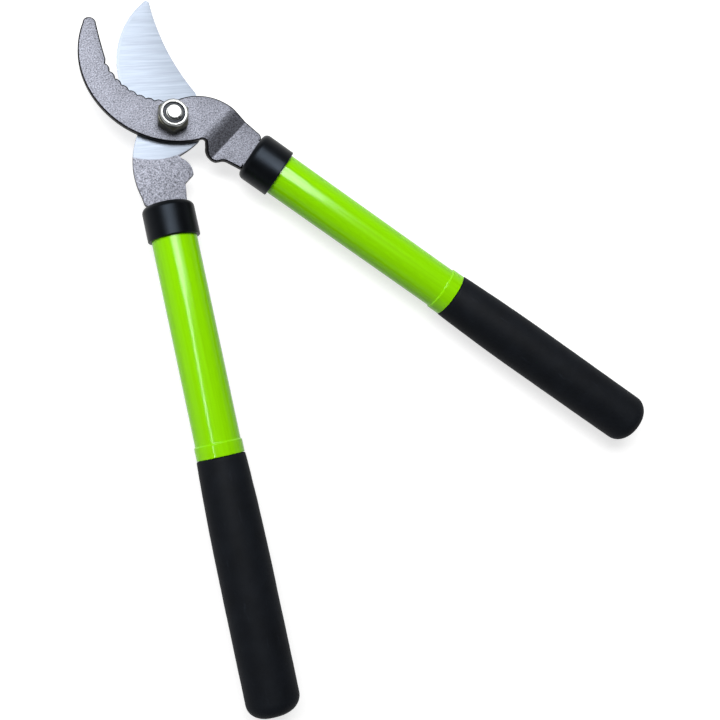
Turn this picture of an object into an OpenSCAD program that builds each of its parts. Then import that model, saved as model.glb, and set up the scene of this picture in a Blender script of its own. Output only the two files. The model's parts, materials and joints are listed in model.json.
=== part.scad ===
// Bypass loppers: a toothed hook and a curved cutting blade on one pivot bolt, with two tube handles.
// Lengths are in millimetres. Each piece is drawn round the pivot, with the tube axes in the XY plane,
// the jaws towards +Y and the handles towards -Y, and placed() then stands the whole tool on the ground.

/* [Blade and hook] */
// Thickness of the cutting blade
blade_t = 3; // [2.5:0.1:4]
// Thickness of the hook plate
hook_t = 3.5; // [3:0.1:4.5]
// Gap between the facing sides of the plates
plate_gap = 0.05; // [0.02:0.01:0.1]
// Reach of the hook's tip beyond the pivot
jaw_l = 61.3; // [52:0.1:72]
// Radius of the blade's boss round the pivot
boss_r = 15.6; // [13.5:0.1:15.8]
// Width of the bevel ground on the blade's underside
bevel_w = 7; // [4:0.5:9]
// Angle round the cutting edge's centre that the bevel stops short of the heel
bevel_stop = 4; // [2:1:10]
// Thickness left at the cutting edge
edge_land = 0.4; // [0.2:0.1:1]
// Number of teeth along the hook
tooth_count = 8; // [5:1:8]
// Distance from one tooth to the next
tooth_pitch = 4.1; // [3.6:0.1:4.3]
// Radius of a tooth's rounded crest
tooth_r = 3; // [2.6:0.1:4]
// Height of a tooth's crest above the throat's curve
tooth_rise = 0.8; // [0.5:0.1:1.2]
// Angle of the hook's bend lines from the X axis
bend_a = 15; // [12:1:18]
// Distance of the upper bend line from the pivot
bend_at = 17.6; // [16.8:0.1:19]
// Width of the ramp between the bend lines, seen from above
ramp_w = 7.8; // [6:0.2:10]

/* [Pivot] */
// Diameter of the pivot bolt
bolt_d = 8; // [6:0.5:8.5]
// Width across the flats of the bolt's head and the nut
hex_af = 14; // [13.5:0.5:16]
// Height of the bolt's head
head_h = 5.3; // [4:0.1:7]
// Length of the bolt beyond the nut
bolt_tail = 1.5; // [0.2:0.1:3]
// Outer diameter of the washer under the head
washer_d = 18; // [15:0.5:22]
// Thickness of the washer under the head
washer_t = 1.6; // [1:0.1:2.5]
// Height of the lock nut with its collar
nut_h = 9.5; // [8.5:0.1:12]
// Height of the lock nut's hexagon
nut_hex_h = 6.6; // [5:0.1:7]
// Step from the hexagon's flats in to the lock nut's collar
collar_inset = 0.5; // [0.3:0.1:0.8]
// Thickness of the collar's wall round the locking ring
collar_wall = 1.1; // [0.8:0.1:1.3]
// Height of the locking ring
ring_h = 2.4; // [1.5:0.1:2.6]
// Thickness of the collar's lip that holds the locking ring in
lip_t = 0.4; // [0.2:0.1:0.8]
// Width of the collar's lip over the locking ring
lip_w = 0.4; // [0.1:0.1:0.6]
// Running clearance round the bolt
pivot_clear = 0.05; // [0.02:0.01:0.1]

/* [Handles] */
// Angle of each handle from the centre line, as the tool lies
handle_a = 22.5; // [20:0.5:27]
// Distance of each handle's axis from the pivot
handle_off = 10.3; // [10:0.1:12]
// Distance along the handle from the pivot to the ferrule's front
ferrule_at = 40; // [39:0.5:45]
// Length of the ferrule
ferrule_l = 16.8; // [14:0.2:24]
// Thickness of the ferrule's side round the tube
ferrule_side = 1.55; // [1:0.05:3]
// Thickness of the ferrule's front wall
ferrule_wall = 2.5; // [1.5:0.1:4]
// Radius of the ferrule's rounded front edge
ferrule_round = 3; // [1:0.5:4]
// Diameter of the handle tube
tube_d = 22; // [21.6:0.1:22.8]
// Wall thickness of the handle tube
tube_wall = 1.2; // [0.8:0.1:1.4]
// Length of tube from the ferrule's front to the raised band
shaft_l = 116.7; // [90:0.2:260]
// Length of the raised band in front of the grip
band_l = 6.8; // [4:0.2:12]
// Height of the raised band above the tube
band_h = 0.6; // [0.2:0.1:1]
// Depth by which the tube is necked down under the grip
seat_step = 1.5; // [1:0.1:2.5]
// Clearance between pieces that are fixed together
fit_gap = 0.05; // [0.02:0.01:0.1]

/* [Grips] */
// Length of the grip
grip_l = 123.4; // [100:0.2:160]
// Thickness of the grip's wall
grip_t = 3.6; // [3.2:0.1:6]
// Thickness of the grip's wall at its front end
grip_front_t = 2.4; // [1.5:0.1:3]
// Length over which the grip swells to its full diameter
swell_l = 56; // [30:1:60]
// Radius of the grip's rounded rear edge
grip_round = 7.5; // [3:0.5:11]
// Thickness of the grip's closed end
grip_end_t = 7; // [4:0.5:12]
// Thickness of the end plug's flange
flange_t = 2; // [1:0.5:4]
// Length of the end plug inside the tube
plug_l = 14; // [8:1:25]

/* [Tangs] */
// Width of the tongue that runs into the tube
tongue_w = 16; // [12:0.5:17]
// Length of the tongue behind the ferrule's front
tongue_l = 40; // [25:1:60]
// Length of the packers beside the tongue
packer_l = 30; // [24:1:50]
// Diameter of the pin through tube, packers and tongue
pin_d = 5; // [4:0.5:6]
// Depth of the pin's ends below the tube's surface
pin_inset = 0.2; // [0.1:0.1:0.5]

/* [Hidden] */
$fn = 96;
LEFT = -1;
RIGHT = 1;
// Longest straight step along a drawn arc
arc_step = 1.2;
// Amount by which a cut runs past the face it opens
over = 1;
// Height that every drawn plate stays within, above and below the tube axes
plate_reach = 20;

// Places along a handle, measured from the pivot
tube_front = ferrule_at + ferrule_wall;
band_at = ferrule_at + shaft_l;
grip_at = band_at + band_l;
grip_end = grip_at + grip_l;
tube_end = grip_end - grip_end_t - flange_t;
pin_at = (tube_front + ferrule_at + ferrule_l) / 2;

// Radii round a handle's axis
tube_r = tube_d / 2;
bore_r = tube_r - tube_wall;
band_r = tube_r + band_h;
seat_r = tube_r - seat_step;
seat_bore_r = seat_r - tube_wall;
grip_r = seat_r + grip_t;
ferrule_bore_r = tube_r + fit_gap;
ferrule_r = ferrule_bore_r + ferrule_side;

// Heights of the stack on the pivot
blade_top = blade_t / 2;
hook_bottom = blade_top + plate_gap;
hook_top = hook_bottom + hook_t;
washer_top = -blade_top - plate_gap;
head_top = washer_top - washer_t;
nut_top = hook_top + nut_h;
ring_top = nut_top - lip_t;

// Radii of the lock nut's collar, of the pocket in it and of the locking ring
collar_r = hex_af / 2 - collar_inset;
pocket_r = collar_r - collar_wall;
ring_r = pocket_r - fit_gap;
// Direction of the hexagons' corners, from the X axis
hex_turn = -5;
// Part of the width across flats that stays flat on a hexagon's end
face_part = 0.95;
// Angle at which the hexagons' corners are turned off
chamfer_a = 30;
// Part of the bolt's radius that is turned off at its end
point_part = 0.18;

// Ground plane and centre of the tool as it lies
rest_z = max(grip_r, ferrule_r);
lie_back = (grip_end - grip_round) * cos(handle_a) + (grip_r - grip_round - handle_off) * sin(handle_a)
    + grip_round;
centre_y = (jaw_l - lie_back) / 2;

// Reach of the jaws in the outlines below, which jaw() stretches to jaw_l
drawn_jaw = 61.3;
function jaw(p) = [p.x, p.y > 0 ? p.y * jaw_l / drawn_jaw : p.y];
function jaw_all(points) = [for (p = points) jaw(p)];

// A point beside a handle: side, distance outwards from its axis, distance along it from the pivot
function handle_point(side, out, along) = [
    side * ((handle_off + out) * cos(handle_a) + along * sin(handle_a)),
    (handle_off + out) * sin(handle_a) - along * cos(handle_a)
];

// Centre of the circle through three points
function arc_centre(p) =
    let (a = p[0], b = p[1], c = p[2])
    let (d = 2 * (a.x * (b.y - c.y) + b.x * (c.y - a.y) + c.x * (a.y - b.y)))
    [
        (a * a * (b.y - c.y) + b * b * (c.y - a.y) + c * c * (a.y - b.y)) / d,
        (a * a * (c.x - b.x) + b * b * (a.x - c.x) + c * c * (b.x - a.x)) / d
    ];

// Points along the arc that starts at the first of three points, passes the second and ends at the third
function arc(p) =
    let (o = arc_centre(p), r = norm(p[0] - o))
    let (start = atan2(p[0].y - o.y, p[0].x - o.x), end = atan2(p[2].y - o.y, p[2].x - o.x))
    let (left_turn = cross(p[1] - p[0], p[2] - p[0]) > 0)
    let (sweep = left_turn ? (end - start + 720) % 360 : -((start - end + 720) % 360))
    let (steps = ceil(abs(sweep) * PI / 180 * r / arc_step))
    [for (i = [0 : steps]) o + r * [cos(start + sweep * i / steps), sin(start + sweep * i / steps)]];

// Points of a rounded corner on a turned profile, given as [radius, distance along the axis]
function rounding(centre, r, from, to) =
    let (steps = 8)
    [for (i = [0 : steps]) let (t = from + (to - from) * i / steps) centre + r * [cos(t), sin(t)]];

// Arcs of the hook's outline, as start, middle and end
hook_tip = jaw_all([[-4.3, 57.6], [-6.7, 61.2], [-10, 59.9]]);
hook_outer = jaw_all([[-10, 59.9], [-20.9, 47.4], [-26, 27.4]]);
hook_belly = jaw_all([[-26, 27.4], [-17.3, 1.2], [5.8, -15.1]]);
hook_crotch = [[5.8, -15.1], [7.8, -15.9], [8.3, -17.5]];
hook_lug = [[7.1, -20], [5.6, -23.9], [7.4, -27.5]];
hook_stop = [[9.1, -28.2], [11.2, -29.2], [12.5, -30.8]];
hook_shoulder = jaw_all([[29.4, -12.1], [21.6, 0.4], [7.7, 6.7]]);
hook_throat = jaw_all([[1.3, 9.3], [-7.9, 18.5], [-12, 38.2]]);
hook_inner = jaw_all([[-10.6, 40], [-8, 47.8], [-4.3, 57.6]]);

// Arcs of the blade's outline, as start, middle and end
blade_edge = jaw_all([[23.3, 56.4], [4.8, 48.9], [-12.6, 11.7]]);
blade_heel = [[-13.1, 5.5], [-24.2, -3.4], [-32.9, -23.5]];
blade_stop = [[-11.9, -29.5], [-11.7, -28.9]];
blade_lug = [[-5.8, -27.3], [-4.6, -24.2], [-6.4, -17.3]];
blade_foot = [[-6.1, -16], [0.2, -15.8], [6, -14.8]];
blade_back = jaw_all([[18.1, 6.1], [17.5, 23.1], [24.2, 54.9]]);

// Direction from the pivot in which the blade's boss gives way to its back
boss_to = -6;
// Angle by which the bevel runs past the blade's tip
bevel_past = 15;

// Half widths of the plates in front of the ferrules, outwards and inwards from the handle's axis
tang_out = 10.7;
tang_in = 9.6;
// Outlines of the tangs: from the inner shoulder, round the tongue, to the rounded outer shoulder
function tang(side) =
    let (shoulder = ferrule_at - fit_gap, end = ferrule_at + tongue_l, half = tongue_w / 2)
    let (corner = tang_out - half)
    concat(
        [
            handle_point(side, -tang_in, shoulder),
            handle_point(side, -half, shoulder),
            handle_point(side, -half, end),
            handle_point(side, half, end)
        ],
        [for (t = [90 : -15 : 0])
            handle_point(side, half + corner * cos(t), shoulder - corner * (1 - sin(t)))]
    );
function reversed(points) = [for (i = [len(points) - 1 : -1 : 0]) points[i]];

module placed() {
    translate([0, -centre_y, rest_z]) children();
}

// Flat outlines beside a handle: X points outwards on the right side, -Y runs along the handle
module beside_handle(side) {
    mirror([side > 0 ? 1 : 0, 0]) rotate(-handle_a) translate([-handle_off, 0]) children();
}

// Solids on a handle: Z runs along its axis from the pivot, Y points up
module on_handle(side) {
    placed() mirror([side > 0 ? 1 : 0, 0, 0]) rotate([0, 0, -handle_a]) translate([-handle_off, 0, 0])
        rotate([90, 0, 0]) children();
}

module teeth_plan() {
    centre = arc_centre(hook_throat);
    throat_r = norm(hook_throat[0] - centre);
    crest_r = throat_r - tooth_rise;
    step = tooth_pitch / crest_r * 180 / PI;
    last = atan2(hook_throat[0].y - centre.y, hook_throat[0].x - centre.x) + 360 - step / 2;
    for (i = [0 : tooth_count - 1])
        translate(centre) rotate(last - i * step) translate([crest_r + tooth_r, 0]) circle(tooth_r);
}

module hook_plan() {
    polygon(concat(
        arc(hook_tip), arc(hook_outer), arc(hook_belly), arc(hook_crotch), arc(hook_lug), arc(hook_stop),
        tang(RIGHT), arc(hook_shoulder), arc(hook_throat), arc(hook_inner)
    ));
    teeth_plan();
}

// Edge-on shape of the hook, which drops from the blade's upper face to the tube axes
module joggle() {
    drop = hook_bottom + hook_t / 2;
    slope = atan(drop / ramp_w);
    shift = hook_t * tan(slope / 2);
    far = 3 * jaw_l;
    low = -hook_t / 2;
    rotate([0, 0, bend_a - 90]) rotate([90, 0, 0]) linear_extrude(2 * far, center = true)
        polygon([
            [-far, hook_top], [bend_at, hook_top], [bend_at + ramp_w, low + hook_t], [far, low + hook_t],
            [far, low], [bend_at + ramp_w - shift, low], [bend_at - shift, hook_bottom], [-far, hook_bottom]
        ]);
}

module pin_hole(side) {
    beside_handle(side) translate([0, -pin_at, -plate_reach])
        cylinder(d = pin_d + 2 * fit_gap, h = 2 * plate_reach);
}

module pivot_hole() {
    cylinder(d = bolt_d + 2 * pivot_clear, h = 2 * plate_reach, center = true);
}

module hook_blade() {
    color("#a9a6ab") placed() difference() {
        intersection() {
            translate([0, 0, -plate_reach]) linear_extrude(2 * plate_reach) hook_plan();
            joggle();
        }
        pivot_hole();
        pin_hole(RIGHT);
    }
}

module blade_plan() {
    boss_from = atan2(blade_foot[2].y, blade_foot[2].x);
    boss_step = 3;
    polygon(concat(
        arc(blade_edge), arc(blade_heel), reversed(tang(LEFT)), blade_stop, arc(blade_lug), arc(blade_foot),
        [for (t = [boss_from + boss_step : boss_step : boss_to]) boss_r * [cos(t), sin(t)]],
        arc(blade_back)
    ));
}

// Ring that grinds the bevel along the cutting edge, from below
module bevel_cut() {
    centre = arc_centre(blade_edge);
    edge_r = norm(blade_edge[0] - centre);
    from = atan2(blade_edge[0].y - centre.y, blade_edge[0].x - centre.x) - bevel_past;
    to = atan2(blade_edge[2].y - centre.y, blade_edge[2].x - centre.x) + 360 - bevel_stop;
    slope = (blade_t - edge_land) / bevel_w;
    translate(centre) rotate([0, 0, from]) rotate_extrude(angle = to - from)
        polygon([
            [edge_r - bevel_w, -blade_top], [edge_r + over, (bevel_w + over) * slope - blade_top],
            [edge_r + over, -blade_top - over], [edge_r - bevel_w, -blade_top - over]
        ]);
}

module cutting_blade() {
    color("#dde5f2") placed() difference() {
        translate([0, 0, -blade_top]) linear_extrude(blade_t) blade_plan();
        bevel_cut();
        pivot_hole();
        pin_hole(LEFT);
    }
}

// A hexagon with its top or bottom corners turned off, standing on Z = 0
module turned_hex(height, top, bottom) {
    corner_r = hex_af / 2 / cos(30);
    face_r = hex_af / 2 * face_part;
    past_r = corner_r + over;
    chamfer = (past_r - face_r) * tan(chamfer_a);
    intersection() {
        rotate([0, 0, hex_turn]) cylinder(r = corner_r, h = height, $fn = 6);
        rotate_extrude() polygon([
            [0, 0], [bottom ? face_r : past_r, 0], [past_r, bottom ? chamfer : 0],
            [past_r, top ? height - chamfer : height], [top ? face_r : past_r, height], [0, height]
        ]);
    }
}

module pivot_bolt() {
    bolt_r = bolt_d / 2;
    bolt_end = nut_top + bolt_tail;
    point = bolt_r * point_part;
    color("#c4c6c8") placed() {
        translate([0, 0, head_top - head_h]) turned_hex(head_h, false, true);
        rotate_extrude() polygon([
            [0, head_top - over], [bolt_r, head_top - over], [bolt_r, bolt_end - point],
            [bolt_r - point, bolt_end], [0, bolt_end]
        ]);
    }
}

module head_washer() {
    color("#b9bbbd") placed() translate([0, 0, head_top]) difference() {
        cylinder(d = washer_d, h = washer_t);
        translate([0, 0, -over]) cylinder(d = bolt_d + 2 * pivot_clear, h = washer_t + 2 * over);
    }
}

module pivot_nut() {
    pocket_z = nut_h - lip_t - ring_h;
    color("#d0d2d4") placed() translate([0, 0, hook_top]) difference() {
        union() {
            turned_hex(nut_hex_h, true, true);
            rotate_extrude() polygon(concat(
                [[0, over], [collar_r, over], [collar_r, nut_h - 2 * lip_t]],
                [[collar_r - lip_t, nut_h - lip_t / 2], [collar_r - 2 * lip_t, nut_h], [0, nut_h]]
            ));
        }
        translate([0, 0, -over]) cylinder(d = bolt_d + 2 * fit_gap, h = nut_h + 2 * over);
        translate([0, 0, pocket_z]) cylinder(r = pocket_r, h = ring_h);
        translate([0, 0, pocket_z]) cylinder(r = pocket_r - lip_w, h = ring_h + lip_t + over);
    }
}

module nut_locking_ring() {
    color("#23262b") placed() translate([0, 0, ring_top - ring_h]) difference() {
        cylinder(r = ring_r, h = ring_h);
        translate([0, 0, -over]) cylinder(d = bolt_d + 2 * fit_gap, h = ring_h + 2 * over);
    }
}

module ferrule(side, plate_t) {
    slot_w = tongue_w + 2 * fit_gap;
    slot_h = plate_t + 2 * fit_gap;
    round_at = [ferrule_r - ferrule_round, ferrule_at + ferrule_round];
    rear = ferrule_at + ferrule_l;
    color("#17181b") on_handle(side) difference() {
        rotate_extrude() polygon(concat(
            [[0, ferrule_at]], rounding(round_at, ferrule_round, -90, 0),
            [[ferrule_r, rear], [ferrule_bore_r, rear], [ferrule_bore_r, tube_front], [0, tube_front]]
        ));
        translate([-slot_w / 2, -slot_h / 2, ferrule_at - over])
            cube([slot_w, slot_h, ferrule_wall + 2 * over]);
    }
}

module cross_pin(d, half_l) {
    translate([0, 0, pin_at]) rotate([90, 0, 0]) cylinder(d = d, h = 2 * half_l, center = true);
}

module tang_packer(side, plate_t, up) {
    packer_r = bore_r - fit_gap;
    flat = plate_t / 2 + fit_gap;
    color("#3a3c40") on_handle(side) difference() {
        translate([0, 0, tube_front]) intersection() {
            cylinder(r = packer_r, h = packer_l);
            translate([-packer_r, up > 0 ? flat : -packer_r, 0])
                cube([2 * packer_r, packer_r - flat, packer_l]);
        }
        cross_pin(pin_d + 2 * fit_gap, tube_d);
    }
}

module tang_pin(side) {
    pin_half = sqrt(tube_r * tube_r - pin_d * pin_d / 4) - pin_inset;
    color("#b0b2b4") on_handle(side) cross_pin(pin_d, pin_half);
}

module tube(side) {
    ramp = band_h / 2;
    neck = seat_bore_r - bore_r;
    color("#86dc00") on_handle(side) difference() {
        rotate_extrude() polygon([
            [bore_r, tube_front], [tube_r, tube_front], [tube_r, band_at], [band_r, band_at + ramp],
            [band_r, grip_at - fit_gap], [seat_r, grip_at - fit_gap], [seat_r, tube_end],
            [seat_bore_r, tube_end], [seat_bore_r, grip_at - tube_wall], [bore_r, grip_at - tube_wall + neck]
        ]);
        cross_pin(pin_d + 2 * fit_gap, tube_d);
    }
}

module grip(side) {
    swell_steps = 10;
    swell = grip_t - grip_front_t;
    inner_r = seat_r + fit_gap;
    round_at = [grip_r - grip_round, grip_end - grip_round];
    color("#1c1f24") on_handle(side) rotate_extrude() polygon(concat(
        [[inner_r, grip_at]],
        [for (i = [0 : swell_steps])
            let (u = i / swell_steps) [grip_r - swell * pow(1 - u, 2), grip_at + swell_l * u]],
        rounding(round_at, grip_round, 0, 90),
        [[0, grip_end], [0, grip_end - grip_end_t], [inner_r, grip_end - grip_end_t]]
    ));
}

module end_plug(side) {
    color("#2b2d31") on_handle(side) rotate_extrude() polygon([
        [0, tube_end - plug_l], [seat_bore_r - fit_gap, tube_end - plug_l], [seat_bore_r - fit_gap, tube_end],
        [seat_r, tube_end], [seat_r, tube_end + flange_t], [0, tube_end + flange_t]
    ]);
}

hook_blade();
cutting_blade();
pivot_bolt();
pivot_nut();
nut_locking_ring();
head_washer();
ferrule(LEFT, blade_t);  // left_ferrule
tang_packer(LEFT, blade_t, 1);  // left_upper_packer
tang_packer(LEFT, blade_t, -1);  // left_lower_packer
tang_pin(LEFT);  // left_tang_pin
tube(LEFT);  // left_tube
grip(LEFT);  // left_grip
end_plug(LEFT);  // left_end_plug
ferrule(RIGHT, hook_t);  // right_ferrule
tang_packer(RIGHT, hook_t, 1);  // right_upper_packer
tang_packer(RIGHT, hook_t, -1);  // right_lower_packer
tang_pin(RIGHT);  // right_tang_pin
tube(RIGHT);  // right_tube
grip(RIGHT);  // right_grip
end_plug(RIGHT);  // right_end_plug
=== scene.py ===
"""Finished look of a pair of bypass loppers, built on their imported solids, in a plain white studio."""
import json
import math

import bmesh
import bpy
from bpy.types import Operator, Panel, PropertyGroup
from mathutils import Matrix, Vector


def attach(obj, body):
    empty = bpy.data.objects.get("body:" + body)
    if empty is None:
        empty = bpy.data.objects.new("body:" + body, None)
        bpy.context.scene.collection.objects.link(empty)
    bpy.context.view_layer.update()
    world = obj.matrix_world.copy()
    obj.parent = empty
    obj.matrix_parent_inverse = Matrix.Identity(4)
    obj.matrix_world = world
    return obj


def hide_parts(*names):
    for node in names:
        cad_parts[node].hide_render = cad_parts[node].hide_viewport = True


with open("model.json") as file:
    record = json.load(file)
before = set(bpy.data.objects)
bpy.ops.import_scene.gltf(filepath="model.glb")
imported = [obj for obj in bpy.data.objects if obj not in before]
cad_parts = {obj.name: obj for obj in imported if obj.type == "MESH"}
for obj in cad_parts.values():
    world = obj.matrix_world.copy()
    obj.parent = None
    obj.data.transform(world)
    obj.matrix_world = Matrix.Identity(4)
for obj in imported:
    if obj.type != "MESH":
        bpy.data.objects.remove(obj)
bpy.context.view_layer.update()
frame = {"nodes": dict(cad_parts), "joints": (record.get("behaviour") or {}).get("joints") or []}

bl_info = {
    "name": "Bypass loppers",
    "version": (1, 0, 0),
    "blender": (4, 5, 0),
    "location": "3D View > Sidebar > Loppers",
    "description": "Builds the plates, pivot, handles and grips of a pair of bypass loppers",
    "category": "Object",
}

MM = 0.001
HOOK_SIDE, BLADE_SIDE = "hook_side", "blade_side"
SIDES = {"left": (-1, BLADE_SIDE), "right": (1, HOOK_SIDE)}
PIVOT = Vector(frame["joints"][0]["pos_m"])

# Outlines of the plates round the pivot, in millimetres: each row is an arc's start, middle and end
HOOK_BELLY = (
    ((-4.3, 57.6), (-6.7, 61.2), (-10, 59.9)),
    ((-10, 59.9), (-20.9, 47.4), (-26, 27.4)),
    ((-26, 27.4), (-17.3, 1.2), (5.8, -15.1)),
    ((5.8, -15.1), (7.8, -15.9), (8.3, -17.5)),
    ((7.1, -20), (5.6, -23.9), (7.4, -27.5)),
    ((9.1, -28.2), (11.2, -29.2), (12.5, -30.8)),
)
HOOK_SHOULDER = ((29.4, -12.1), (21.6, 0.4), (7.7, 6.7))
HOOK_THROAT = ((1.3, 9.3), (-7.9, 18.5), (-12, 38.2))
HOOK_INNER = ((-10.6, 40), (-8, 47.8), (-4.3, 57.6))
BLADE_EDGE = ((23.3, 56.4), (4.8, 48.9), (-12.6, 11.7))
BLADE_HEEL = ((-13.1, 5.5), (-24.2, -3.4), (-32.9, -23.5))
BLADE_STOP = ((-11.9, -29.5), (-11.7, -28.9))
BLADE_LUG = ((-5.8, -27.3), (-4.6, -24.2), (-6.4, -17.3))
BLADE_FOOT = ((-6.1, -16), (0.2, -15.8), (6, -14.8))
BLADE_BACK = ((18.1, 6.1), (17.5, 23.1), (24.2, 54.9))
BOSS_R, BOSS_TO = 15.6, -6
GROUND_AT, GROUND_R, GROUND_FADE_R = (-1.1, 19.8), 35.3, 35.8
BEVEL_WIDTH, BEVEL_DEPTH, BEVEL_ENDS, STRIP_ENDS = 7, 2.6, (15, 4), (15, 2)
TOOTH_COUNT, TOOTH_PITCH, TOOTH_R, TOOTH_RISE = 8, 4.1, 3, 0.8
TANG_OUT, TANG_IN, TONGUE_HALF, TONGUE_END = 10.7, 9.6, 8, 80
ARC_STEP = 0.5

# Heights on the pivot and along the handles, in millimetres
BLADE_T, HOOK_T, HOOK_TOP = 3, 3.5, 5.05
BOLT_R, HOLE_R, PIN_HOLE_R, PIN_AT, GAP = 4, 4.05, 2.55, 49.65, 0.05
HEAD_TOP, HEAD_BASE, BOLT_END, THREAD_AT, THREAD_CORE = -3.15, -8.45, 16.05, 11.2, 3.25
# The last of these is how far below the nut's top its plating stays bright; below it, the plating is darkened as
# painted shade
HEX_TOP, NUT_TOP, UNSHADED_LIP_DEPTH = HOOK_TOP + 6.6, HOOK_TOP + 9.5, 0.75
COLLAR_R, POCKET_R, POCKET_DEPTH, LIP_R, LIP_T, RING_R = 6.8, 5.4, 2.8, 5.3, 0.4, 5.35
WASHER_R, WASHER_TOP = 9, -1.55
HANDLE_A, HANDLE_OFF = math.radians(22.5), 10.3
FERRULE_AT, FERRULE_END, FERRULE_R, FERRULE_BORE = 40, 56.8, 12.6, 11.05
TUBE_FRONT, TUBE_R, TUBE_BORE, BAND_AT, BAND_R = 42.5, 11, 9.8, 156.7, 11.6
SEAT_R, SEAT_BORE, TUBE_END = 9.5, 8.3, 277.9
GRIP_AT, GRIP_END, GRIP_R, GRIP_FRONT_R, GRIP_SWELL = 163.5, 286.9, 13.1, 11.9, 56
GRIP_ROUND, GRIP_FLOOR = 7.5, 279.9
# A hexagon's end face and its corners, as shares of its width across flats
HEX_FACE, HEX_CORNER = 0.475, 0.568

# The studio, in metres and degrees: each lamp has its shape, place, turn and size
FLOOR_R, FLOOR_BELOW, LAMP_HEIGHT, FILL_FROM = 6, 0.0002, 1.15, (-0.5, 0.87, 0)
SOFTBOX = ("softbox", "RECTANGLE", (0.01, 0.57), -30, (1.2, 0.56))
HIGHLIGHTS = (
    ("left", "streak", "RECTANGLE", (-0.4, 0.27), 0, (1.0, 0.08)),
    ("left", "flare", "RECTANGLE", (-0.115, 0.325), -22.5, (0.66, 0.14)),
    ("right", "patch", "ELLIPSE", (0.197, 0.133), 22.5, (1.1, 0.2)),
)
# The camera from the pivot, in millimetres and degrees
CAMERA_AT = (-131.48093, -112.01358, 477.56169)
CAMERA_TURNS = ((-4.27457, "X"), (-16.68388, "Y"), (-35.18710, "Z"))
WHITE = (1, 1, 1, 1)

# Kinds of node that many trees use, and the values that most of a noise lies between
MATH, VECTOR, RANGE = "ShaderNodeMath", "ShaderNodeVectorMath", "ShaderNodeMapRange"
NOISE, MAPPING = "ShaderNodeTexNoise", "ShaderNodeMapping"
NOISE_LOW, NOISE_HIGH = 0.3, 0.7
# The attribute of a turned piece that keeps each point's place round its own axis
TURNED_PLACE = "turned_place"


def linear(hex_colour):
    """Linear RGBA of an sRGB hex colour."""
    parts = [int(hex_colour[i:i + 2], 16) / 255 for i in (1, 3, 5)]
    return [*(c / 12.92 if c <= 0.04045 else ((c + 0.055) / 1.055) ** 2.4 for c in parts), 1.0]


def per_mm(size):
    """Noise scale that gives features of this size in millimetres."""
    return 1 / (size * MM)


def colour_property(name, description, hex_colour):
    """A colour that a user may change, given as sRGB hex."""
    return bpy.props.FloatVectorProperty(
        name=name, description=description, subtype="COLOR", size=4, min=0, max=1, default=linear(hex_colour))


def length_property(name, description, millimetres):
    """A length that a user may change, given in millimetres."""
    return bpy.props.FloatProperty(
        name=name, description=description, subtype="DISTANCE", unit="LENGTH", min=0, default=millimetres * MM)


class LopperPlates(PropertyGroup):
    """Sizes and colours of the hook and the blade"""
    hook_round: length_property("Hook rounding", "Radius tumbled onto the hook's edges", 0.6)
    blade_round: length_property("Blade rounding", "Radius left on the blade's edges", 0.2)
    strip_width: length_property("Edge strip", "Width of the strip honed along the cutting edge", 1.3)
    strip_depth: length_property("Edge strip depth", "Drop of the honed strip at the cutting edge", 0.14)
    hook_colour: colour_property("Tumbled steel", "Colour of the tumbled plates", "#74767F")
    blade_colour: colour_property("Ground steel", "Colour of the ground blade", "#A2ABB8")
    # The near black of the plates' walls is partly dark scale and partly painted shade
    edge_scale_and_shade_colour: colour_property("Edge scale and shade", "Colour of the plates' sheared edges", "#121214")


class LopperPivot(PropertyGroup):
    """Sizes and colours of the bolt, nut and washer"""
    across_flats: length_property("Across flats", "Width of the nut and the bolt's head across their flats", 14)
    thread_pitch: length_property("Thread pitch", "Rise of the bolt's thread in one turn", 1.25)
    plating: colour_property("Plating", "Colour of the zinc plating", "#A3A5A4")
    # The nut below its lip takes this darker plating, which is painted shade
    painted_shade_plating: colour_property("Painted shade plating", "Colour of the plating on the nut's milled flats", "#66665C")
    nylon: colour_property("Nylon", "Colour of the nut's locking ring", "#5C5F64")


class LopperHandles(PropertyGroup):
    """Sizes and colours of the ferrules, tubes and grips"""
    unevenness: length_property("Foam unevenness", "Depth of the foam's soft dents", 0.25)
    plastic: colour_property("Ferrule plastic", "Colour of the moulded ferrules", "#090A0C")
    enamel: colour_property("Tube enamel", "Colour of the tubes' enamel", "#8FDF02")
    foam: colour_property("Grip foam", "Colour of the grips' foam", "#12151A")


class LopperStage(PropertyGroup):
    """Colours and light of the studio"""
    floor: colour_property("Floor", "Colour of the floor", "#BCBCBC")
    softbox: bpy.props.FloatProperty(
        name="Softbox power", description="Power of the lamp overhead", subtype="POWER", unit="POWER",
        min=0, default=18.5)
    highlights: bpy.props.FloatProperty(
        name="Highlight power", description="Power per square metre of the lamps that draw the handles' highlights",
        min=0, default=100)


def feed(tree, socket, source):
    """Links an input to a socket or to a node's first output, or sets it to a value."""
    if isinstance(source, bpy.types.Node):
        source = source.outputs[0]
    if isinstance(source, bpy.types.NodeSocket):
        tree.links.new(source, socket)
    else:
        socket.default_value = source


def node(tree, kind, inputs=(), **settings):
    """Adds a node: settings go to the node itself, and inputs feed its sockets, in order or by name or number."""
    made = tree.nodes.new(kind)
    for name, value in settings.items():
        setattr(made, name, value)
    for key, source in inputs.items() if isinstance(inputs, dict) else enumerate(inputs):
        feed(tree, made.inputs[key], source)
    return made


def new_material(name, attribute=None):
    """A material, its tree, and the place on the piece that its patterns read, which may be an attribute."""
    material = bpy.data.materials.new(name)
    material.use_nodes = True
    tree = material.node_tree
    if attribute:
        place = node(tree, "ShaderNodeAttribute", attribute_name=attribute).outputs["Vector"]
    else:
        place = node(tree, "ShaderNodeTexCoord").outputs["Object"]
    return material, tree, place


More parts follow.
